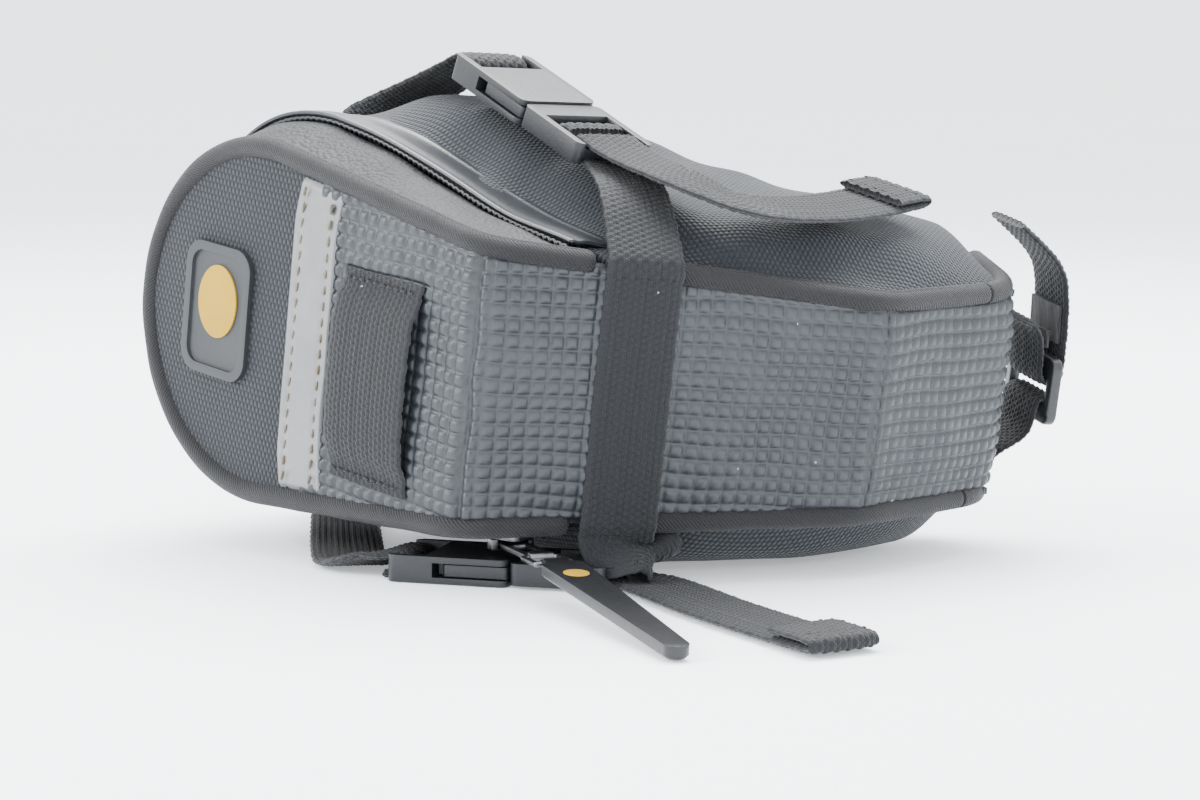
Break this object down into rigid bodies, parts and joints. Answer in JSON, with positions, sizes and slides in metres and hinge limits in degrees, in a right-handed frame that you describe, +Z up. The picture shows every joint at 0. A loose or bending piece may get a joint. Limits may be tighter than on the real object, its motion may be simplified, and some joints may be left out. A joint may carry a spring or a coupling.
{
  "type": "saddle bag",
  "caption": "Wedge-shaped strap-mount bag that hangs under a bicycle saddle, with a zipped end lid, two rail straps with side-release buckles and a seatpost strap.",
  "frame": {"origin": "middle of the footprint, on the surface the bag lies on", "axes": "the bag lies on its lower side panel; +X runs from the rear end towards the nose, +Z points up through the upper side panel, and the belly faces -Y"},
  "size_m": [0.2062, 0.1572, 0.1092],
  "materials": {
    "side_nylon": "woven, slight sheen",
    "grip_vinyl": "embossed, semi-matt",
    "rear_nylon": "woven, matt",
    "pebbled_band": "pebbled",
    "zip_rubber": "satin",
    "piping": "satin",
    "zip_tape": "woven",
    "zip_teeth": "satin",
    "board": "matt",
    "reflective": "retroreflective",
    "badge_rubber": "matt",
    "badge_mark": "matt",
    "webbing": "ribbed webbing",
    "hook_loop": "hook and loop",
    "buckle_plastic": "satin",
    "gun_metal": "dark nickel",
    "puller_rubber": "satin"
  },
  "bodies": {
    "bag": {"side_panel_upper": "side_nylon", "side_panel_lower": "side_nylon", "saddle_panel": "side_nylon", "belly_panel": "grip_vinyl", "nose_panel": "grip_vinyl", "piping_upper": "piping", "piping_lower": "piping", "zip_flap": "zip_rubber", "zip_tape_main": "zip_tape", "zip_teeth_main": "zip_teeth", "belly_board": "board", "belly_strap": "webbing", "rail_riser_upper": "webbing", "rail_riser_lower": "webbing", "rail_anchor_upper": "webbing", "rail_anchor_lower": "webbing", "buckle_female_upper": "buckle_plastic", "buckle_female_lower": "buckle_plastic", "post_strap_long": "webbing", "post_strap_short": "webbing", "post_loop_patch": "hook_loop", "post_ring": "buckle_plastic"},
    "lid": {"logo_panel": "rear_nylon", "rear_grip_panel": "grip_vinyl", "corner_grip_panel": "grip_vinyl", "gusset_band": "pebbled_band", "piping_lid": "piping", "zip_tape_lid": "zip_tape", "zip_teeth_lid": "zip_teeth", "rear_board": "board", "reflective_tape": "reflective", "light_loop": "webbing", "badge_base": "badge_rubber", "badge_inlay": "badge_mark"},
    "slider": {"zip_slider": "gun_metal"},
    "tab": {"pull_tab": "gun_metal"},
    "ring": {"pull_ring": "gun_metal"},
    "puller": {"zip_puller": "puller_rubber", "puller_badge": "badge_mark"},
    "male_upper": {"buckle_male_upper": "buckle_plastic", "rail_tail_upper": "webbing"},
    "male_lower": {"buckle_male_lower": "buckle_plastic", "rail_tail_lower": "webbing"},
    "prong_upper_a": {"buckle_prong_upper_a": "buckle_plastic"},
    "prong_upper_b": {"buckle_prong_upper_b": "buckle_plastic"},
    "prong_lower_a": {"buckle_prong_lower_a": "buckle_plastic"},
    "prong_lower_b": {"buckle_prong_lower_b": "buckle_plastic"},
    "post_end": {"post_strap_end": "webbing", "post_hook_patch": "hook_loop"}
  },
  "joints": [
    {"name": "lid_open", "type": "hinge", "parent": "bag", "child": "lid", "pos_m": [0.00455, -0.01582, 0.03996], "axis": [0.1077, -0.0797, 0.991], "range_deg": [0, 40]},
    {"name": "zip_slide", "type": "slide", "parent": "bag", "child": "slider", "axis": [-0.8224, 0.569, 0], "range_m": [-0.008, 0.012]},
    {"name": "tab_lift", "type": "hinge", "parent": "slider", "child": "tab", "pos_m": [-0.01251, -0.00388, 0.00744], "axis": [-0.866, -0.5, 0], "range_deg": [0, 6]},
    {"name": "ring_swing", "type": "hinge", "parent": "tab", "child": "ring", "pos_m": [-0.004, -0.0186, 0.00744], "axis": [0.866, 0.5, 0], "range_deg": [0, 10]},
    {"name": "puller_swing", "type": "hinge", "parent": "ring", "child": "puller", "pos_m": [-0.00051, -0.02466, 0.00744], "axis": [0.866, 0.5, 0], "range_deg": [0, 45]},
    {"name": "buckle_upper_release", "type": "slide", "parent": "bag", "child": "male_upper", "axis": [0.6777, -0.6196, -0.396], "range_m": [0, 0.016], "deforming": ["rail_riser_upper"]},
    {"name": "prong_upper_a", "type": "hinge", "parent": "male_upper", "child": "prong_upper_a", "pos_m": [-0.01292, 0.01891, 0.09561], "axis": [-0.3108, 0.2466, -0.9179], "range_deg": [0, 6], "stiffness_Nm_per_rad": 0.05},
    {"name": "prong_upper_b", "type": "hinge", "parent": "male_upper", "child": "prong_upper_b", "pos_m": [-0.00206, 0.03106, 0.09519], "axis": [0.3108, -0.2466, 0.9179], "range_deg": [0, 6], "stiffness_Nm_per_rad": 0.05},
    {"name": "buckle_lower_release", "type": "slide", "parent": "bag", "child": "male_lower", "axis": [0.9903, -0.1392, 0], "range_m": [0, 0.016], "deforming": ["rail_riser_lower"]},
    {"name": "prong_lower_a", "type": "hinge", "parent": "male_lower", "child": "prong_lower_a", "pos_m": [-0.01142, -0.01204, 0.00284], "axis": [0, 0, -1], "range_deg": [0, 6], "stiffness_Nm_per_rad": 0.05},
    {"name": "prong_lower_b", "type": "hinge", "parent": "male_lower", "child": "prong_lower_b", "pos_m": [-0.00915, 0.0041, 0.00284], "axis": [0, 0, 1], "range_deg": [0, 6], "stiffness_Nm_per_rad": 0.05},
    {"name": "post_strap_peel", "type": "hinge", "parent": "bag", "child": "post_end", "pos_m": [0.09784, 0.06142, 0.03906], "axis": [-0.3684, 0.9226, 0.1143], "range_deg": [0, 45]}
  ]
}
